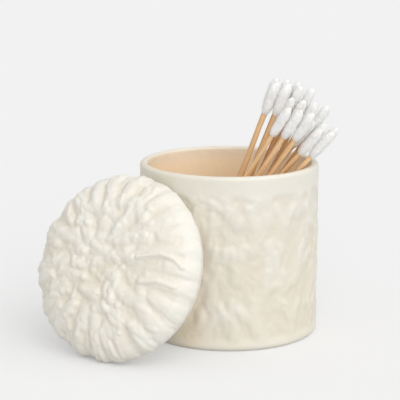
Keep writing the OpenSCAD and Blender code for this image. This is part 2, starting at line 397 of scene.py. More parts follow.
class Nodes:
    """Lays out the nodes of one material."""

    def __init__(self, name: str) -> None:
        """Starts an empty material with its shader and output.

        Args:
            name: Name of the material.
        """
        self.material = bpy.data.materials.new(name)
        self.material.use_nodes = True
        self.tree = self.material.node_tree
        self.tree.nodes.clear()
        self.shader = self.new("BsdfPrincipled")
        self.join(self.shader.outputs["BSDF"], self.new("OutputMaterial").inputs["Surface"])

    def new(self, kind: str) -> bpy.types.Node:
        """Adds a node of the given kind."""
        return self.tree.nodes.new(f"ShaderNode{kind}")

    def join(self, source: Socket, target: Socket) -> None:
        """Links two sockets."""
        self.tree.links.new(source, target)

    def plain(self, values: dict[str, float | tuple[float, ...]]) -> None:
        """Sets sockets of the shader that are the same all over, by their names."""
        for name, value in values.items():
            self.shader.inputs[name].default_value = value

    def place(self, kind: str = "Object") -> Socket:
        """Place on the piece, from its own space or its flat layout."""
        return self.new("TexCoord").outputs[kind]

    def along_grain(self, scale: Pair) -> Socket:
        """Place on the piece's flat layout, scaled across and along the grain.

        Args:
            scale: Scale across and along.

        Returns:
            The scaled place.
        """
        mapping = self.new("Mapping")
        mapping.inputs["Scale"].default_value = (*scale, 1.0)
        self.join(self.place("UV"), mapping.inputs["Vector"])
        return mapping.outputs["Vector"]

    def mottle(self, where: Socket, scale: float, detail: float = 2.0) -> Socket:
        """A cloudy pattern.

        Args:
            where: Place on the piece.
            scale: Scale of the pattern.
            detail: How many finer layers it has.

        Returns:
            The pattern, from 0 to 1.
        """
        cloud = self.new("TexNoise")
        cloud.inputs["Scale"].default_value = scale
        cloud.inputs["Detail"].default_value = detail
        self.join(where, cloud.inputs["Vector"])
        return cloud.outputs["Fac"]

    def share(self, name: str) -> Socket:
        """A value that the mesh keeps for each point.

        Args:
            name: Name of the value.

        Returns:
            The value.
        """
        node = self.new("Attribute")
        node.attribute_name = name
        return node.outputs["Fac"]

    def range(self, source: Socket, span: Pair, out: Pair = FULL) -> Socket:
        """Brings a value from one range to another.

        Args:
            source: The value.
            span: Low and high end of its range.
            out: Low and high end of the new range.

        Returns:
            The new value.
        """
        node = self.new("MapRange")
        for name, value in zip(("From Min", "From Max", "To Min", "To Max"), (*span, *out)):
            node.inputs[name].default_value = value
        self.join(source, node.inputs["Value"])
        return node.outputs["Result"]

    def blend(self, share: Socket, low: Tone | Socket, high: Tone | Socket) -> Socket:
        """Mixes two colours by a share.

        Args:
            share: 0 for the low colour, 1 for the high one.
            low: A tone or a colour socket.
            high: A tone or a colour socket.

        Returns:
            The mixed colour.
        """
        node = self.new("Mix")
        node.data_type = "RGBA"
        self.join(share, node.inputs["Factor"])
        for side, colour in (("A", low), ("B", high)):
            socket = next(s for s in node.inputs if s.name == side and s.type == "RGBA")
            if isinstance(colour, Tone):
                socket.default_value = colour.linear
            else:
                self.join(colour, socket)
        return next(s for s in node.outputs if s.type == "RGBA")

    def towards(self, share: Socket, source: Socket, value: float) -> Socket:
        """Brings a value towards a fixed one by a share.

        Args:
            share: 0 for the value, 1 for the fixed one.
            source: The value.
            value: The fixed one.

        Returns:
            The mixed value.
        """
        node = self.new("Mix")
        self.join(share, node.inputs[0])
        self.join(source, node.inputs[2])
        node.inputs[3].default_value = value
        return node.outputs[0]

    def most(self, first: Socket, second: Socket) -> Socket:
        """The larger of two values.

        Args:
            first: One value.
            second: The other value.

        Returns:
            The larger one.
        """
        node = self.new("Math")
        node.operation = "MAXIMUM"
        self.join(first, node.inputs[0])
        self.join(second, node.inputs[1])
        return node.outputs[0]

    def bump(self, height: Socket, depth: float, below: Socket | None = None) -> Socket:
        """Roughens the surface by a pattern.

        Args:
            height: The pattern.
            depth: Its depth in metres.
            below: A coarser roughening that it lies on.

        Returns:
            The bent normal.
        """
        node = self.new("Bump")
        node.inputs["Distance"].default_value = depth
        self.join(height, node.inputs["Height"])
        if below is not None:
            self.join(below, node.inputs["Normal"])
        return node.outputs["Normal"]

    def finish(self, **sockets: Socket) -> bpy.types.Material:
        """Joins values to the shader.

        Args:
            sockets: The values, by the name of their socket with underscores.

        Returns:
            The material.
        """
        for name, source in sockets.items():
            self.join(source, self.shader.inputs[name.replace("_", " ").title()])
        return self.material


@dataclass(frozen=True)
class Glaze:
    """A satin ivory glaze, darker and warmer in the hollows partly from glaze that pools and partly from
    painted crease shade, with painted warm light on the wall beside the lid, and peach and glossy inside the
    bore, its peach partly the glaze's own and partly painted warm interreflected light.

    Args:
        name: Name of the material.
        pale: Its paler tone.
        warm: Its warmer tone, which clouds into the paler one.
        satin: Roughness outside, lowest and highest.
        gloss: Roughness inside the bore.
        cloud_scale: Scale of the clouding between the tones.
        satin_scale: Scale of the changes in roughness.
        pool_and_shade: Strength of the darker, warmer tone in the hollows, partly glaze that pools there and
            partly painted crease shade.
        painted_bounce_strength: Strength of the painted warm light on the wall beside the lid.
        swell: Scale and depth in metres of the glaze's soft waves.
        skin: Scale and depth in metres of its fine skin.
    """

    name: str
    pale: Tone = Tone.IVORY
    warm: Tone = Tone.IVORY_WARM
    satin: Pair = (0.34, 0.46)
    gloss: float = 0.16
    cloud_scale: float = 18.0
    satin_scale: float = 160.0
    pool_and_shade: float = 0.35
    painted_bounce_strength: float = 0.55
    swell: Pair = (190.0, 0.00022)
    skin: Pair = (1500.0, 0.00002)

    def build(self, with_bore: bool) -> bpy.types.Material:
        """Makes the material.

        Args:
            with_bore: Whether the piece has the peach bore and the painted warm light on its wall beside the
                lid.

        Returns:
            The material.
        """
        nodes = Nodes(self.name)
        where = nodes.place()
        cloud = nodes.mottle(where, self.cloud_scale, 3.0)
        colour = nodes.blend(nodes.range(cloud, SOFT_STEP), self.pale, self.warm)
        # Darker, warmer hollows: partly glaze that pools there, partly painted crease shade.
        hollow = nodes.range(nodes.share("hollow"), FULL, (0.0, self.pool_and_shade))
        colour = nodes.blend(hollow, colour, Tone.IVORY_POOL_SHADE)
        rough = nodes.range(nodes.mottle(where, self.satin_scale), (0.3, 0.7), self.satin)
        if with_bore:
            # Painted warm light on the wall beside the lid, standing for light thrown back from it.
            painted_bounce = nodes.range(nodes.share("painted_bounce"), FULL, (0.0, self.painted_bounce_strength))
            colour = nodes.blend(painted_bounce, colour, Tone.PAINTED_BOUNCE)
            # Peach inside the bore: partly the inner glaze's own colour, partly painted warm interreflected
            # light.
            bore = nodes.share("bore")
            peach = nodes.blend(nodes.range(cloud, (0.3, 0.7)), Tone.PEACH, Tone.PEACH_DEEP)
            colour = nodes.blend(bore, colour, peach)
            rough = nodes.towards(bore, rough, self.gloss)
        normal = None
        for scale, depth in (self.swell, self.skin):
            normal = nodes.bump(nodes.mottle(where, scale), depth, normal)
        return nodes.finish(base_color=colour, roughness=rough, normal=normal)


@dataclass(frozen=True)
class SplitWood:
    """Pale split wood, its grain running along the stick.

    Args:
        name: Name of the material.
        roughness: Roughness of the sanded wood.
        grain: Scale of the dark grain across and along.
        streaks: Scale of the pale streaks across and along.
        grain_depth: Depth of the grain in metres.
    """

    name: str = "split_wood"
    roughness: float = 0.55
    grain: Pair = (900.0, 40.0)
    streaks: Pair = (260.0, 7.0)
    grain_depth: float = 0.00006

    def build(self) -> bpy.types.Material:
        """Makes the material.

        Returns:
            The material.
        """
        nodes = Nodes(self.name)
        nodes.plain({"Roughness": self.roughness})
        grain = nodes.mottle(nodes.along_grain(self.grain), 1.0, 4.0)
        streak = nodes.mottle(nodes.along_grain(self.streaks), 1.0, 1.0)
        body = nodes.blend(nodes.range(streak, SOFT_STEP), Tone.WOOD, Tone.WOOD_PALE)
        colour = nodes.blend(nodes.range(grain, (0.52, 0.75), (0.0, 0.7)), body, Tone.WOOD_DARK)
        return nodes.finish(base_color=colour, normal=nodes.bump(grain, self.grain_depth))


@dataclass(frozen=True)
class WoundCotton:
    """White cotton wound on the stick, with a soft nap.

    Args:
        name: Name of the material.
        roughness: Roughness of the fibres.
        nap: Strength of the soft sheen.
        nap_spread: Roughness of that sheen.
        glow: How much light passes through the fibres.
        glow_reach: How far it passes, in metres.
        tuft: Scale and depth in metres of the tufts.
        wisps: Scale of the wound wisps across and along.
        wisp_depth: Depth of the wisps in metres.
    """

    name: str = "wound_cotton"
    roughness: float = 0.95
    nap: float = 0.35
    nap_spread: float = 0.6
    glow: float = 0.6
    glow_reach: float = 0.0012
    tuft: Pair = (700.0, 0.0002)
    wisps: Pair = (1400.0, 500.0)
    wisp_depth: float = 0.00012

    def build(self) -> bpy.types.Material:
        """Makes the material.

        Returns:
            The material.
        """
        nodes = Nodes(self.name)
        nodes.plain({
            "Roughness": self.roughness, "Sheen Weight": self.nap, "Sheen Roughness": self.nap_spread,
            "Subsurface Weight": self.glow, "Subsurface Radius": (1.0, 1.0, 1.0),
            "Subsurface Scale": self.glow_reach,
        })
        tuft = nodes.mottle(nodes.place(), self.tuft[0], 4.0)
        colour = nodes.blend(nodes.range(tuft, SOFT_STEP), Tone.COTTON_SHADE, Tone.COTTON)
        wisps = nodes.bump(nodes.mottle(nodes.along_grain(self.wisps), 1.0, 4.0), self.wisp_depth)
        return nodes.finish(base_color=colour, normal=nodes.bump(tuft, self.tuft[1], wisps))


def hand_in(piece: bpy.types.Object, material: bpy.types.Material, slot: Slot, cad_node: str) -> None:
    """Gives a piece its finish and lets it stand for its CAD node.

    Args:
        piece: The finished piece.
        material: Its finish.
        slot: The record's slot for that finish; not used.
        cad_node: The CAD node that it replaces.
    """
    piece.data.materials.append(material)
    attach(piece, Body.ROOT.value)
    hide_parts(cad_node)
    LOG.info("%s: %d points", piece.name, len(piece.data.vertices))


@dataclass
class Canister:
    """The round canister with its coral wall, rounded lip and bore."""

    diameter: float = 100.0
    height: float = 96.0
    wall: float = 4.4
    floor_thickness: float = 6.0
    bore_fillet: float = 3.0
    foot_rounding: float = 3.0
    foot_reach: float = 0.8
    plain_band: float = 9.0
    wall_relief: float = 2.0
    ground_depth: float = 1.0
    relief_fade: float = 5.0
    branch_width: float = 10.4
    sprig_count: int = 17
    sprig_rows: int = 5
    melt: float = 1.1
    coral_share: float = 0.52
    coral_mean: float = 0.55
    stroke_count: int = 600
    stroke_depth: float = 0.42
    stroke_melt: float = 0.3
    band_strokes: float = 0.4
    band_fade: float = 4.0
    foot_calm: float = 20.0
    swells: tuple[Swell, ...] = (Swell(6.5, 0.12, 1.0), Swell(2.4, 0.05, 2.0))
    # Peach over the lip's crest, run out from the bore's peach, which is partly painted warm interreflected
    # light.
    crest_peach: float = 0.12
    crest_fade: float = 0.7
    # Where the painted warm light from the leaning lid lies on the wall: its side, its width, and how it
    # fades towards the top and the foot.
    painted_bounce_side: float = 26.0
    painted_bounce_reach: float = 14.0
    painted_bounce_fade: float = 30.0
    painted_bounce_foot: float = 10.0
    columns: int = 450
    wall_rows: int = 146
    arc_rows: int = 9

    @property
    def radius(self) -> float:
        """Outside radius of the plain band."""
        return self.diameter / 2

    @property
    def girth(self) -> float:
        """Way around the plain band."""
        return 2 * math.pi * self.radius

    @property
    def bore_radius(self) -> float:
        """Radius of the bore."""
        return self.radius - self.wall

    @property
    def lip_outer(self) -> float:
        """Rounding of the lip's outer edge."""
        return 0.45 * self.wall

    @property
    def lip_inner(self) -> float:
        """Rounding of the lip's inner edge."""
        return 0.4 * self.wall

    @property
    def relief_top(self) -> float:
        """Height where the plain band starts."""
        return self.height - self.plain_band

    def wall_coral(self) -> Relief:
        """The coral on the wall laid flat: x runs around, y runs up, each row half a step on.

        Returns:
            The relief.
        """
        pitch, foot = self.girth / self.sprig_count, self.foot_rounding
        span = self.relief_top - foot
        branches: list[Branch] = []
        for row in range(self.sprig_rows):
            for i in range(self.sprig_count):
                seed = 20 * row + i
                x = (i + row % 2 * 0.5 + 0.35 * spread(seed, 7)) * pitch
                y = foot + span * (row + 0.3 * spread(seed, 6)) / self.sprig_rows
                length = span * (0.1 + 0.04 * spread(seed, 9))
                width = self.branch_width * (0.8 + 0.35 * spread(seed, 11))
                top = 0.55 + 0.35 * spread(seed, 10)
                branches += sprig((x, y), 80 * spread(seed, 8) - 40, length, width, top, seed)
        return Relief(branches, self.girth, self.melt)

    def wall_strokes(self) -> Relief:
        """The fine tool strokes over the wall's coral, mostly upright.

        Returns:
            The relief.
        """
        branches: list[Branch] = []
        for i in range(self.stroke_count):
            x = self.girth * ((GOLDEN_SHARE * i) % 1)
            y = self.foot_rounding + (self.height - self.foot_rounding) * (i + 0.5) / self.stroke_count
            heading, length = 110 * spread(i, 32) - 55, 4 + 6 * spread(i, 34)
            width, top = 3.4 + 2.4 * spread(i, 33), 0.35 + 0.65 * spread(i, 35)
            branches.append(Branch(x, y, heading, length, (width * 0.7, width), (top * 0.6, top)))
        return Relief(branches, self.girth, self.stroke_melt)

    def outer_rows(self) -> np.ndarray:
        """The outer section from the foot to the lip.

        Returns:
            How far each row stands back, and its height.
        """
        quarter = np.radians(np.linspace(0, 90, self.arc_rows))
        foot, lip = self.foot_rounding, self.lip_outer
        return np.array([
            *((foot * (1 - math.sin(a)) * self.foot_reach, foot * (1 - math.cos(a))) for a in quarter),
            *((0.0, z) for z in np.linspace(foot, self.relief_top, self.wall_rows)[1:]),
            *((0.0, z) for z in np.linspace(self.relief_top, self.height - lip, 6)[1:-1]),
            *((lip * (1 - math.cos(a)), self.height - lip * (1 - math.sin(a))) for a in quarter),
        ])

    def inner_rows(self) -> np.ndarray:
        """The inner section from the lip down to the middle of the floor.

        Returns:
            Radius and height of each row.
        """
        quarter = np.radians(np.linspace(90, 0, self.arc_rows))
        bore, lip, fillet, floor = self.bore_radius, self.lip_inner, self.bore_fillet, self.floor_thickness
        low = floor + fillet
        drop = self.height - lip - low
        return np.array([
            *((bore + lip * (1 - math.cos(a)), self.height - lip * (1 - math.sin(a))) for a in quarter),
            *((bore, low + drop * (1 - t * t)) for t in np.linspace(0, 1, 14)[1:-1]),
            *((bore - fillet * (1 - math.sin(a)), floor + fillet * (1 - math.cos(a))) for a in quarter),
            *((r, floor) for r in (40.0, 30.0, 20.0, 10.0, 2.0)),
        ])

    def outside(self) -> tuple[np.ndarray, np.ndarray]:
        """The outer surface with its coral and strokes.

        Returns:
            Its points, and how deep in the hollows each lies.
        """
        rows = self.outer_rows()
        angles = 2 * math.pi * np.arange(self.columns) / self.columns
        around, up = (side.ravel() for side in np.meshgrid(angles * self.radius, rows[:, 1]))
        flat = np.column_stack([around, up])
        lift, strokes = self.wall_coral().heights(flat), self.wall_strokes().heights(flat)
        fade = smooth((up - self.foot_rounding) / self.relief_fade)
        fade = fade * smooth((self.relief_top - up) / self.relief_fade)
        on_band = smooth((self.height - self.lip_outer - up) / self.band_fade) * (up > self.foot_calm)
        stroked = np.maximum(fade, self.band_strokes * on_band)
        middle = self.wall_relief * self.coral_mean
        carved = middle + self.coral_share * (self.wall_relief * lift - middle)
        reach = self.radius + fade * (carved - self.ground_depth) - np.repeat(rows[:, 0], self.columns)
        points = revolve(reach + self.stroke_depth * stroked * (strokes - 0.5), up, self.columns)
        uneven = sum(swell.over(points) for swell in self.swells)
        points[:, :2] *= (1 + fade * uneven / self.radius)[:, None]
        return points, fade * pooled_and_shaded(lift + 0.5 * (strokes - 0.5))

    def bore_share(self, depth: np.ndarray) -> np.ndarray:
        """How peach the bore is at each depth under the lip, partly the inner glaze's own colour and partly
        painted warm interreflected light, deeper further down.
        """
        return self.crest_peach + 0.4 * smooth((depth - 0.3) / 1.7) + 0.48 * smooth((depth - 1.5) / 9)

    def painted_bounce(self, points: np.ndarray) -> np.ndarray:
        """How much painted warm light, standing for light thrown back from the leaning lid, lies at each
        place of the wall, most at the left front.

        Args:
            points: One place per row.

        Returns:
            The shares.
        """
        beside = np.degrees(np.arctan2(points[:, 0], -points[:, 1])) + self.painted_bounce_side
        low = smooth((self.relief_top - points[:, 2]) / self.painted_bounce_fade)
        low = low * smooth((points[:, 2] + self.painted_bounce_foot) / (2 * self.painted_bounce_foot))
        return np.exp(-((beside / self.painted_bounce_reach) ** 2)) * low

    def build(self, glaze: Glaze) -> bpy.types.Object:
        """Makes the canister.

        Args:
            glaze: Its finish.

        Returns:
            The piece.
        """
        n = self.columns
        foot = self.radius - self.foot_rounding * self.foot_reach
        reach = np.repeat([foot - back for back in (40.0, 20.0, 6.0, 1.0)], n)
        under = revolve(reach, np.zeros(len(reach)), n)
        outer, hollow = self.outside()
        inner = revolve(*(np.repeat(side, n) for side in self.inner_rows().T), n)
        points = np.vstack([under, outer, inner, [[0, 0, 0], [0, 0, self.floor_thickness]]])
        piece = new_object("canister_body", points, closed_faces(n, len(points) // n))
        start = np.zeros(len(under))
        # Peach of the bore and the lip's crest: partly the inner glaze's own colour, partly painted warm
        # interreflected light.
        crest = self.crest_peach * smooth((outer[:, 2] - (self.height - self.crest_fade)) / self.crest_fade)
        bore = self.bore_share(self.height - inner[:, 2])
        # Darker, warmer hollows of the wall: partly glaze that pools, partly painted crease shade.
        set_share(piece, "hollow", np.concatenate([start, hollow]))
        set_share(piece, "bore", np.concatenate([start, crest, bore, [0.0, 1.0]]))
        # Painted warm light on the wall beside the leaning lid.
        set_share(piece, "painted_bounce", np.concatenate([start, self.painted_bounce(outer)]))
        hand_in(piece, glaze.build(with_bore=True), Slot.CANISTER, "canister")
        return piece


@dataclass
class Lid:
    """The domed lid with its coral fingers, seat, locating ring and hollow, as it leans on the canister.

    Each knob is (x, y, heading, length, height) and each arched edge of the open leaf is
    (x, y, heading, length, width, height), on the dome laid flat from its crown. Their lengths are in
    hundredths of the way from the crown to the seat edge.
    """

    radius: float = 49.2
    dome_height: float = 19.0
    fullness: float = 2.8
    seat_rounding: float = 1.4
    shell: float = 5.0
    ring_depth: float = 4.0
    ring_radius: float = 44.9
    ring_wall: float = 3.2
    ring_edge: float = 0.5
    relief: float = 3.6
    edge_fade: float = 4.0
    finger_width: float = 9.0
    turn: float = 31.0
    lean: float = 22.0
    rings: int = 128
    plain_rings: int = 32
    ridge_count: int = 26
    melt: float = 0.8
    coral_share: float = 0.62
    coral_mean: float = 0.6
    calm_share: float = 0.4
    finger_count: int = 250
    finger_depth: float = 1.3
    finger_melt: float = 0.2
    swells: tuple[Swell, ...] = (Swell(5.5, 0.16, 3.0), Swell(2.0, 0.07, 4.0))
    knobs: tuple[tuple[float, ...], ...] = (
        (-2, 57, 82, 22, 0.9), (22, 54, 135, 10, 1), (5, 31, 30, 10, 1), (2, 21, 76, 16, 0.9),
        (24, 28, 84, 12, 0.85), (-9, 29, -10, 9, 0.7), (-16, 19, 60, 7, 0.9), (-29, 31, 150, 14, 0.85),
        (-29, 35, -80, 9, 1), (-57, 21, 82, 17, 0.8), (-36, 16, 128, 12, 0.9), (-12, 10, 80, 9, 0.85),
        (3, 5, 64, 19, 0.8), (26, 7, 70, 9, 0.9), (-16, 0, 80, 10, 0.8), (5, -9, 100, 9, 0.85),
        (14, -14, 135, 12, 0.9), (26, -24, 112, 9, 0.9), (10, -21, 150, 9, 1), (42, -16, 168, 10, 0.9),
        (-16, -26, 105, 12, 1), (-24, -35, 200, 12, 0.85), (0, -42, 70, 10, 0.9), (14, -54, 150, 10, 0.8),
        (-12, -45, 185, 14, 0.8), (-43, -3, -95, 14, 0.8), (-47, -14, 85, 12, 0.8), (-38, -22, -110, 16, 0.8),
        (-21, -14, -100, 10, 0.75), (-22, -5, -85, 10, 0.8), (-42, 45, -40, 14, 0.8), (-19, 47, -60, 12, 0.8),
        (-5, 45, -20, 9, 0.75), (38, 42, 65, 14, 0.7), (22, -38, 160, 14, 0.75),
    )
    leaf: tuple[tuple[float, ...], ...] = (
        (35, 10, 74, 22, 0.6, 0.95), (56, 16, 97, 10, 0.6, 0.9), (67, 15, 125, 12, 0.6, 0.7),
        (42, -11, 78, 17, 0.65, 0.75), (59, -8, 100, 14, 0.65, 0.6),
    )
    way: np.ndarray = field(init=False)

    def __post_init__(self) -> None:
        """Measures the way from the crown to the seat edge."""
        line = np.array([self.dome_point(t) for t in range(91)])
        self.way = np.concatenate([[0.0], np.cumsum(np.linalg.norm(np.diff(line, axis=0), axis=1))])

    @property
    def dome_reach(self) -> float:
        """Way from the crown to the seat edge."""
        return float(self.way[-1])

    def dome_point(self, t: float) -> Pair:
        """Radius and height of the dome's section at a step of t degrees."""
        out, up = (max(0.0, share) ** (2 / self.fullness) for share in (sin_deg(t), cos_deg(t)))
        return self.radius * out, self.seat_rounding + (self.dome_height - self.seat_rounding) * up

    def ridge(self, at: float, start: float, heading: float, length: float, seed: int) -> list[Branch]:
        """A low ridge that runs out to the edge and forks on its way.

        Args:
            at: Angle around the crown where it starts, in degrees.
            start: Way from the crown to its start.
            heading: Direction of its stem, in degrees.
            length: Length of its stem.
            seed: Number that makes this ridge differ from the others.

        Returns:
            The stem and its two prongs.
        """
        width = self.finger_width * (0.96 + 0.2 * spread(seed, 21))
        top = 0.6 + 0.3 * spread(seed, 22)
        x, y, prong = start * sin_deg(at), start * cos_deg(at), self.dome_reach * 0.2
        branches = [Branch(x, y, heading, length, (width * 0.8, width), (top, top * 0.9))]
        x, y = (x, y) + branches[0].run
        for side, key, share in ((-1, 20, 0.9), (1, 23, 0.85)):
            way = heading + side * (9 + 9 * spread(seed, key))
            branches.append(Branch(x, y, way, prong, (width, width), (top * share, 0.55)))
        return branches

    def leaf_edges(self, width_share: float, end_share: float) -> list[Branch]:
        """The arched edges of the open leaf.

        Args:
            width_share: Their width, as a share of that in the table.
            end_share: Height of their ends, as a share of their starts.

        Returns:
            The edges.
        """
        share, full = self.dome_reach / 100, self.finger_width * width_share
        edges: list[Branch] = []
        for x, y, way, length, girth, height in self.leaf:
            widths, heights = (full * girth, full * girth), (height, height * end_share)
            edges.append(Branch(x * share, y * share, way, length * share, widths, heights))
        return edges

    def coral(self, softness: float) -> Relief:
        """The lid's coral on the dome laid flat from its crown.

        Args:
            softness: Radius over which its creases are softened.

        Returns:
            The relief.
        """
        reach, share = self.dome_reach, self.dome_reach / 100
        branches: list[Branch] = []
        for i, (x, y, way, length, height) in enumerate(self.knobs):
            width = self.finger_width * (0.88 + 0.25 * spread(i, 11))
            widths, heights = (width * 0.85, width), (height * 0.7, height)
            branches.append(Branch(x * share, y * share, way, length * share, widths, heights))
        branches += self.leaf_edges(1.0, 0.9)
        for i in range(self.ridge_count):
            at = 360 * (i + 0.35 * spread(i, 17)) / self.ridge_count
            inner = 0.6 if i % 2 == 0 else 0.45
            start, heading = reach * (inner + 0.05 * spread(i, 18)), at + 22 * spread(i, 19) - 11
            branches += self.ridge(at, start, heading, reach * (0.78 - inner), i)
        return Relief(branches, None, softness)

    def fine_coral(self) -> Relief:
        """The small fingers over the coral, crowded at the crown and running outwards at the edge.

        Returns:
            The relief.
        """
        branches: list[Branch] = []
        for i in range(self.finger_count):
            share = math.sqrt((i + 0.5) / self.finger_count)
            at = GOLDEN_ANGLE * i + 16 * spread(i, 31)
            heading = at + (90 * (1 - share) + 12) * (2 * spread(i, 32) - 1)
            width = 4.6 - 1.4 * share + 0.9 * spread(i, 33)
            length = self.dome_reach * (0.05 + 0.05 * spread(i, 34)) * (0.8 + share)
            x, y = self.dome_reach * share * 0.97 * np.array([sin_deg(at), cos_deg(at)])
            top = (0.45 + 0.55 * spread(i, 35)) * (1 - 0.65 * self.calm(x)) * (1 - 0.4 * share)
            branches.append(Branch(x, y, heading, length, (width * 0.75, width), (top * 0.55, top)))
        return Relief(branches + self.leaf_edges(0.6, 1.0), None, self.finger_melt)

    def calm(self, x: float | np.ndarray) -> np.ndarray:
        """How smooth the face is at a place to the right of its crown: 0 at the left, 1 at the right."""
        return smooth((x / self.dome_reach - 0.15) / 0.5)

    def section(self, q: float) -> tuple[float, float, float, float, float]:
        """The dome's section at one way from the crown.

        Args:
            q: The way.

        Returns:
            Its radius, its height, its outward direction (out and up) and the way.
        """
        t = float(np.interp(q, self.way, np.arange(91)))
        r, z = self.dome_point(t)
        run = np.array(self.dome_point(min(90.0, t + 1))) - np.array(self.dome_point(max(0.0, t - 1)))
        out = np.array([-run[1], run[0]]) / np.linalg.norm(run)
        return (r, z, 0.0, 1.0, 0.0) if q == 0 else (r, z, float(out[0]), float(out[1]), q)

    def dome(self, rings: int, relief: Relief, worked: bool = True) -> tuple[np.ndarray, np.ndarray]:
        """Points of the dome, each ring with six more than the one inside it.

        Args:
            rings: Rings of points from the crown to the seat edge.
            relief: The coral on it.
            worked: Whether the surface has its hand-worked unevenness.

        Returns:
            The points in the lid's own frame and the height share of the relief at each.
        """
        sections = [self.section(self.dome_reach * k / rings) for k in range(rings + 1)]
        spots = [(k, i) for k in range(rings + 1) for i in range(max(1, 6 * k))]
        r, z, out_r, out_z, q = np.array([sections[k] for k, _ in spots]).T
        angle = np.radians([60 * i / max(1, k) for k, i in spots])
        across = np.array([np.sin(angle), np.cos(angle)])
        ground = (q * across).T
        points, out = np.array([*(r * across), z]).T, np.array([*(out_r * across), out_z]).T
        share = relief.heights(ground)
        strength = smooth((self.dome_reach - np.linalg.norm(ground, axis=1)) / self.edge_fade)
        lift = self.relief * share
        if worked:
            middle = self.relief * self.coral_mean
            gentle = self.coral_share * (1 - self.calm_share * self.calm(ground[:, 0]))
            lift = middle + gentle * (lift - middle)
            lift += self.finger_depth * (self.fine_coral().heights(ground) - 0.4)
            lift += sum(swell.over(points) for swell in self.swells)
            share = np.clip(lift / self.relief, 0, 1)
        return points + out * (strength * lift)[:, None], share * strength

    @property
    def pose(self) -> np.ndarray:
        """Turn of the lid as it leans on the canister."""
        upright = Matrix.Rotation(math.radians(90 - self.lean), 3, "X")
        return np.array(Matrix.Rotation(math.radians(-self.turn), 3, "Z") @ upright)

    def place(self) -> np.ndarray:
        """Where the lid's own origin stands, read from the box of the measured lid.

        Returns:
            The place.
        """
        points, _ = self.dome(self.plain_rings, self.coral(0.0), worked=False)
        low, high = (np.array(corner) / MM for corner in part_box("lid"))
        turned = points @ self.pose.T
        return np.array([*(low[:2] - turned.min(axis=0)[:2]), high[2] - turned[:, 2].max()])

    def under_rows(self) -> np.ndarray:
        """The section from the seat edge over the ring to the middle of the hollow.

        Returns:
            Radius and height of each row.
        """
        outer, inner = self.ring_radius, self.ring_radius - self.ring_wall
        low, edge = -self.ring_depth, self.ring_edge
        power, roof = 2 / self.fullness, self.dome_height - self.shell
        return np.array([
            *(
                (self.radius - self.seat_rounding * (1 - cos_deg(a)), self.seat_rounding * (1 - sin_deg(a)))
                for a in (22.5, 45, 67.5, 90)
            ),
            (outer + 0.6, 0.0), (outer + 0.15, -0.15), (outer, -0.6),
            (outer, low + edge), (outer - 0.3 * edge, low + 0.3 * edge), (outer - edge, low),
            (inner + edge, low), (inner + 0.3 * edge, low + 0.3 * edge), (inner, low + edge),
            *(
                (inner * sin_deg(t) ** power, roof * max(0.0, cos_deg(t)) ** power)
                for t in (90, 86, 80, 72, 64, 56, 48, 40, 32, 24, 16, 9, 3)
            ),
        ])

    def dome_faces(self, starts: list[int]) -> list[Face]:
        """Faces between the rings of the dome.

        Args:
            starts: Number of the first point of each ring.

        Returns:
            The faces.
        """
        faces: list[Face] = []
        for k in range(self.rings):
            n, m = max(1, 6 * k), 6 * (k + 1)
            for s in range(6):
                for j in range(k + 1):
                    a, b = (starts[k] + (s * k + j + step) % n for step in (0, 1))
                    c, d = (starts[k + 1] + (s * (k + 1) + j + step) % m for step in (0, 1))
                    faces.append((a, d, c))
                    if j < k:
                        faces.append((a, b, d))
        return faces

    def build(self, glaze: Glaze) -> bpy.types.Object:
        """Makes the lid.

        Args:
            glaze: Its finish.

        Returns:
            The piece.
        """
        dome, share = self.dome(self.rings, self.coral(self.melt))
        starts = [0] + [1 + 3 * k * (k - 1) for k in range(1, self.rings + 1)]
        columns, rows = 6 * self.rings, self.under_rows()
        reach, height = (np.repeat(side, columns) for side in rows.T)
        turn = np.tile(2 * math.pi * np.arange(columns) / columns, len(rows))
        under = np.column_stack([reach * np.sin(turn), reach * np.cos(turn), height])
        points = np.vstack([dome, under, [[0, 0, self.dome_height - self.shell]]])
        last = len(points) - 1
        faces = self.dome_faces(starts) + band_faces(starts[-1], columns, len(rows) + 1)
        faces += cap_faces(last - columns, columns, last)
        stood = points @ self.pose.T + self.place()
        stood[:, 2] = np.maximum(stood[:, 2], 0.0)
        piece = new_object("lid_body", stood, faces)
        inside_edge = np.linalg.norm(dome[:, :2], axis=1) < self.radius - self.edge_fade
        # Darker, warmer hollows of the lid: partly glaze that pools, partly painted crease shade.
        set_share(piece, "hollow", pooled_and_shaded(share) * inside_edge)
        hand_in(piece, glaze.build(with_bore=False), Slot.LID, "lid")
        return piece


@dataclass(frozen=True)
class SwabLayer:
    """One upright layer of swabs.

    Args:
        foot_share: How far left its first foot stands, as a share of the room there.
        rim_share: How far right its last stick crosses the mouth, as a share of the room there.
        count: Swabs in the layer.
    """

    foot_share: float
    rim_share: float
    count: int


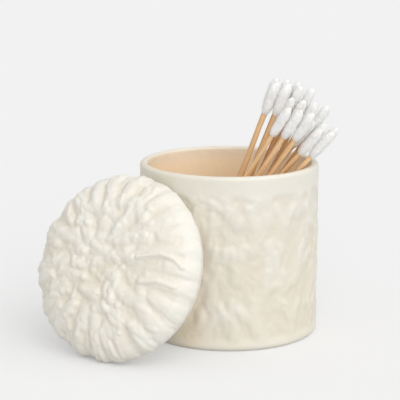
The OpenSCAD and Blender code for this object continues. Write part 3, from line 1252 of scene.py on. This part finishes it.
@dataclass
class SwabBunch:
    """The bunch of cotton swabs that stands in the canister and fans out over its right rim."""

    canister: Canister
    length: float = 145.0
    stick_diameter: float = 2.6
    head_diameter: float = 5.6
    head_length: float = 18.5
    head_grip: float = 13.0
    swab_gap: float = 0.2
    foot_gap: float = 0.5
    lean: float = 8.0
    front_share: float = 0.26
    stick_columns: int = 20
    split_depth: float = 0.035
    sanding_depth: float = 0.02
    head_columns: int = 44
    head_rows: int = 46
    neck_ways: tuple[float, ...] = (0.0, 0.03, 0.12, 0.22, 0.34)
    neck_shares: tuple[float, ...] = (0.5, 0.64, 0.85, 0.95, 1.0)
    tip_length: float = 0.34
    tip_bluntness: float = 2.1
    tip_radius: float = 0.3
    wind_pitch: float = 3.4
    wind_depth: float = 0.012
    lump_depth: float = 0.05
    nap_depth: float = 0.018
    strand_count: int = 130
    strand_root: float = 0.08
    strand_reach: Pair = (0.5, 0.8)
    strand_girths: Pair = (0.045, 0.03)
    layers: tuple[SwabLayer, ...] = (
        SwabLayer(1, 0.68, 3), SwabLayer(1, 1, 2), SwabLayer(0.52, 0.34, 2), SwabLayer(1, 0.98, 3),
        SwabLayer(0.85, 0.78, 4), SwabLayer(0.65, 0.62, 4), SwabLayer(0.6, 0.5, 3),
    )

    @property
    def stick_radius(self) -> float:
        """Radius of a stick."""
        return self.stick_diameter / 2

    def poses(self) -> list[Matrix]:
        """Where each swab's foot stands and how it leans, in millimetres.

        Returns:
            One pose per swab, layer by layer from the front.
        """
        jar = self.canister
        foot_step = self.stick_diameter + self.foot_gap
        head_step = self.head_diameter + self.swab_gap
        climb = jar.height - jar.lip_inner - jar.floor_thickness
        rise = climb / cos_deg(self.lean)
        foot_reach = jar.bore_radius - jar.bore_fillet + self.stick_radius * 0.3
        steepest = math.degrees(math.atan((foot_reach + jar.bore_radius) / rise))
        room = (jar.lip_inner + self.stick_radius + self.swab_gap) / cos_deg(steepest)
        mouth_reach = jar.bore_radius + jar.lip_inner - room
        fan = math.degrees(math.asin((head_step - foot_step) / (self.length - 0.7 * self.head_length)))
        forward = Matrix.Rotation(math.radians(self.lean), 4, "X")
        found: list[Matrix] = []
        for k, layer in enumerate(self.layers):
            last = layer.count - 1
            y = -self.front_share * jar.bore_radius + k * head_step / cos_deg(self.lean)
            mouth_y = y - climb * math.tan(math.radians(self.lean))
            left = -layer.foot_share * math.sqrt(foot_reach**2 - y**2)
            right = layer.rim_share * math.sqrt(mouth_reach**2 - mouth_y**2)
            step = foot_step / cos_deg(math.degrees(math.atan((right - left) / rise)))
            steep = math.degrees(math.atan((right - left - last * step) / rise))
            for j in range(layer.count):
                lean = steep - (last - j) * fan
                upright = cos_deg(lean) * cos_deg(self.lean)
                z = jar.floor_thickness + self.stick_radius * math.sqrt(1 - upright**2)
                place = Matrix.Translation((left + j * step, y, z))
                found.append(place @ forward @ Matrix.Rotation(math.radians(lean), 4, "Y"))
        return found

    def tube(self, radii: np.ndarray, heights: np.ndarray) -> Shape:
        """A closed round piece along a swab's axis.

        Args:
            radii: Radius of each point, one row per height.
            heights: Height of each row.

        Returns:
            Its points and faces.
        """
        rows, columns = radii.shape
        turn = np.tile(2 * math.pi * np.arange(columns) / columns, rows)
        across, up = radii.reshape(-1) * (np.cos(turn), np.sin(turn)), np.repeat(heights, columns)
        middles = [[0, 0, heights[0]], [0, 0, heights[-1]]]
        return np.vstack([np.column_stack([*across, up]), middles]), closed_faces(columns, rows)

    def stand(self, name: str, shape: Shape, pose: Matrix, seed: int) -> bpy.types.Object:
        """Stands a piece in the bunch, its grain laid flat along it.

        Args:
            name: Name of the piece.
            shape: Its points along the swab's axis and its faces.
            pose: Where the swab stands.
            seed: Number of the swab, which shifts its grain.

        Returns:
            The piece.
        """
        points, faces = shape
        stood = points @ np.array(pose.to_3x3()).T + np.array(pose.translation)
        piece = new_object(name, stood, faces)
        around = np.abs(np.arctan2(points[:, 1], points[:, 0])) * self.stick_radius * MM
        set_wrap(piece, np.column_stack([around + seed * 0.37, points[:, 2] * MM + seed * 0.211]))
        return piece

    def stick(self, i: int, pose: Matrix) -> bpy.types.Object:
        """One split and sanded stick with eased ends.

        Args:
            i: Number of the swab.
            pose: Where it stands.

        Returns:
            The piece.
        """
        top = self.length - self.head_length + self.head_grip - 0.05
        heights = np.array([0.0, 0.12, 0.35, *np.linspace(4.0, top - 1, 30), top])
        shares = np.array([0.86, 0.95, 1.0, *np.ones(30), 0.9])[:, None]
        ring = np.arange(self.stick_columns)[None, :] * 2 * math.pi / self.stick_columns
        rough = 1 - self.split_depth * (0.5 + 0.5 * np.sin(2 * ring + i + heights[:, None] / 17))
        rough -= self.sanding_depth * (0.5 + 0.5 * np.sin(5 * ring + 2.3 * i))
        shape = self.tube(self.stick_radius * shares * rough, heights)
        return self.stand(f"stick_{i + 1:02d}", shape, pose, i)

    def strands(self, i: int, radii: np.ndarray, heights: np.ndarray, start: int) -> Shape:
        """Stray fibres that stand off a cotton head.

        Args:
            i: Number of the swab.
            radii: Radius of each point of the head, one row per height.
            heights: Height of each row.
            start: Number of the first point of the fibres.

        Returns:
            Their points and faces, each fibre a thin spike with one bend.
        """
        rows, columns = radii.shape
        points: list[np.ndarray] = []
        faces: list[Face] = []
        axis = np.array([0, 0, 1.0])
        least, more = self.strand_reach
        for j in range(self.strand_count):
            key = 131 * i + j
            row = int(spread(key, 41) * (rows - 4)) + 2
            column = int(spread(key, 42) * columns)
            a = 2 * math.pi * column / columns
            out = np.array([math.cos(a), math.sin(a), 0.25 if row > rows * 0.8 else 0.0])
            side = np.array([-math.sin(a), math.cos(a), 0.0])
            root = heights[row] * axis + (radii[row, column] - self.strand_root) * out * (1, 1, 0)
            run = 0.55 * out + (1.6 * spread(key, 43) - 0.8) * side + (2.0 * spread(key, 44) - 0.7) * axis
            run *= (least + more * spread(key, 45)) / np.linalg.norm(run)
            bend = root + run + 0.12 * out
            first = start + len(points)
            for place, girth in zip((root, bend), self.strand_girths):
                points += [place + girth * way for way in (side, out - side, 1.5 * axis)]
            points.append(bend + 0.8 * run + 0.3 * (spread(key, 46) - 0.7) * out)
            for k, after in ((0, 1), (1, 2), (2, 0)):
                faces.append((first + k, first + after, first + 3 + after, first + 3 + k))
                faces.append((first + 3 + k, first + 3 + after, first + 6))
            faces.append((first + 2, first + 1, first))
        return np.array(points), faces

    def cotton(self, i: int, pose: Matrix) -> bpy.types.Object:
        """One wound cotton head, uneven and slightly lumpy, with stray fibres.

        Args:
            i: Number of the swab.
            pose: Where it stands.

        Returns:
            The piece.
        """
        length, r = self.head_length, self.head_diameter / 2
        share = np.linspace(0, 1, self.head_rows)
        below = np.interp(share, self.neck_ways, self.neck_shares)
        tip = np.clip((share - (1 - self.tip_length)) / self.tip_length, 0, 1)
        profile = np.where(share < 0.5, below, np.sqrt(np.clip(1 - tip**self.tip_bluntness, 0.0, 1)))
        profile[-1] = 0.12
        ring = np.arange(self.head_columns) * 2 * math.pi / self.head_columns
        spiral = np.sin(ring[None, :] - 2 * math.pi * share[:, None] * length / self.wind_pitch + i)
        rim = [(r * math.cos(a), r * math.sin(a)) for a in ring]
        places = np.array([(x, y, s * length + 9.0 * i) for s in share for x, y in rim])
        lumps, nap = (
            Swell(wavelength, 1.0, seed + i).over(places).reshape(self.head_rows, self.head_columns)
            for wavelength, seed in ((2.6, 5.0), (0.8, 9.0))
        )
        wound = 0.965 + self.wind_depth * spiral + self.nap_depth * nap
        wound += self.lump_depth * np.minimum(lumps, 0.4)
        radii = np.maximum(r * np.minimum(profile[:, None] * wound, 1.0), self.tip_radius)
        radii[share < 0.05] = np.maximum(radii[share < 0.05], self.stick_radius + 0.05)
        heights = self.length - length + share * length
        points, faces = self.tube(radii, heights)
        more_points, more_faces = self.strands(i, radii, heights, len(points))
        shape = (np.vstack([points, more_points]), faces + more_faces)
        return self.stand(f"cotton_{i + 1:02d}", shape, pose, i)

    def build(self, wood: SplitWood, cotton: WoundCotton) -> None:
        """Makes all swabs.

        Args:
            wood: Finish of the sticks.
            cotton: Finish of the heads.
        """
        wood_finish, cotton_finish = wood.build(), cotton.build()
        for i, pose in enumerate(self.poses()):
            number = f"{i + 1:02d}"
            hand_in(self.stick(i, pose), wood_finish, Slot.STICK, f"swab_stick_{number}")
            hand_in(self.cotton(i, pose), cotton_finish, Slot.COTTON, f"swab_cotton_{number}")


@dataclass(frozen=True)
class Sun:
    """A soft sun.

    Args:
        name: Name of the lamp.
        strength: Its strength.
        side: Its direction from the front towards the right, in degrees.
        height: Its height over the horizon, in degrees.
        softness: Width of its disc, in degrees.
    """

    name: str
    strength: float
    side: float
    height: float
    softness: float

    def hang(self) -> None:
        """Hangs the sun in the scene."""
        light = bpy.data.lights.new(self.name, "SUN")
        light.energy = self.strength
        light.angle = math.radians(self.softness)
        lamp = bpy.data.objects.new(self.name, light)
        bpy.context.scene.collection.objects.link(lamp)
        level = cos_deg(self.height)
        back = Vector((sin_deg(self.side) * level, -cos_deg(self.side) * level, sin_deg(self.height)))
        lamp.rotation_mode = "QUATERNION"
        lamp.rotation_quaternion = (-back).to_track_quat("-Z", "Y")


@dataclass
class Studio:
    """A pale sheet of floor, an even pale world, two soft suns and the camera."""

    floor_reach: float = 30.0
    floor_lift: float = 0.27
    world_strength: float = 0.67
    suns: tuple[Sun, ...] = (Sun("key_sun", 1.25, 19.0, 31.0, 56.0), Sun("side_sun", 0.46, 75.0, 52.0, 60.0))
    eye: tuple[float, float, float] = (0.0, -0.800, 0.244)
    look_down: float = 12.04
    look_left: float = 1.17
    lens: float = 130.7
    sensor: float = 36.0

    def floor(self) -> None:
        """Lays the floor, wide enough to be the whole background."""
        reach = self.floor_reach / MM
        corners = [(-reach, -reach, 0), (reach, -reach, 0), (reach, reach, 0), (-reach, reach, 0)]
        sheet = new_object("studio_floor", np.array(corners, float), [(0, 1, 2, 3)])
        nodes = Nodes("floor_paper")
        nodes.plain({
            "Base Color": Tone.FLOOR.linear, "Emission Color": (1.0, 1.0, 1.0, 1.0),
            "Roughness": 1.0, "Specular IOR Level": 0.0,
        })
        path = nodes.new("LightPath")
        seen = path.outputs["Is Camera Ray"]
        for kind in ("Glossy", "Transmission"):
            seen = nodes.most(seen, path.outputs[f"Is {kind} Ray"])
        lift = nodes.range(seen, FULL, (0.0, self.floor_lift))
        nodes.join(lift, nodes.shader.inputs["Emission Strength"])
        sheet.data.materials.append(nodes.material)

    def world(self) -> None:
        """Sets an even pale world."""
        world = bpy.data.worlds.new("studio_world")
        world.use_nodes = True
        sky = world.node_tree.nodes["Background"]
        sky.inputs["Color"].default_value = (1.0, 1.0, 1.0, 1.0)
        sky.inputs["Strength"].default_value = self.world_strength
        bpy.context.scene.world = world

    def camera(self) -> None:
        """Sets the camera at the photograph's viewing angle."""
        data = bpy.data.cameras.new("camera")
        data.lens = self.lens
        data.sensor_width = self.sensor
        eye = bpy.data.objects.new("camera", data)
        eye.location = self.eye
        eye.rotation_euler = (math.radians(90 - self.look_down), 0.0, math.radians(self.look_left))
        bpy.context.scene.collection.objects.link(eye)
        bpy.context.scene.camera = eye

    def build(self) -> None:
        """Sets up the whole studio."""
        self.camera()
        self.floor()
        self.world()
        for sun in self.suns:
            sun.hang()
        bpy.context.scene.view_settings.view_transform = "Standard"


def main() -> None:
    """Builds the studio, the canister, the lid and the swabs."""
    logging.basicConfig(level=logging.INFO, format="%(message)s")
    Studio().build()
    canister = Canister()
    canister.build(Glaze("canister_ivory"))
    # The lid wears a lighter, lit copy of the canister's ivory: painted light.
    Lid().build(Glaze("lid_ivory", Tone.IVORY_LIT, Tone.IVORY_LIT_WARM))
    SwabBunch(canister).build(SplitWood(), WoundCotton())
    bpy.context.view_layer.update()


if __name__ == "__main__":
    main()
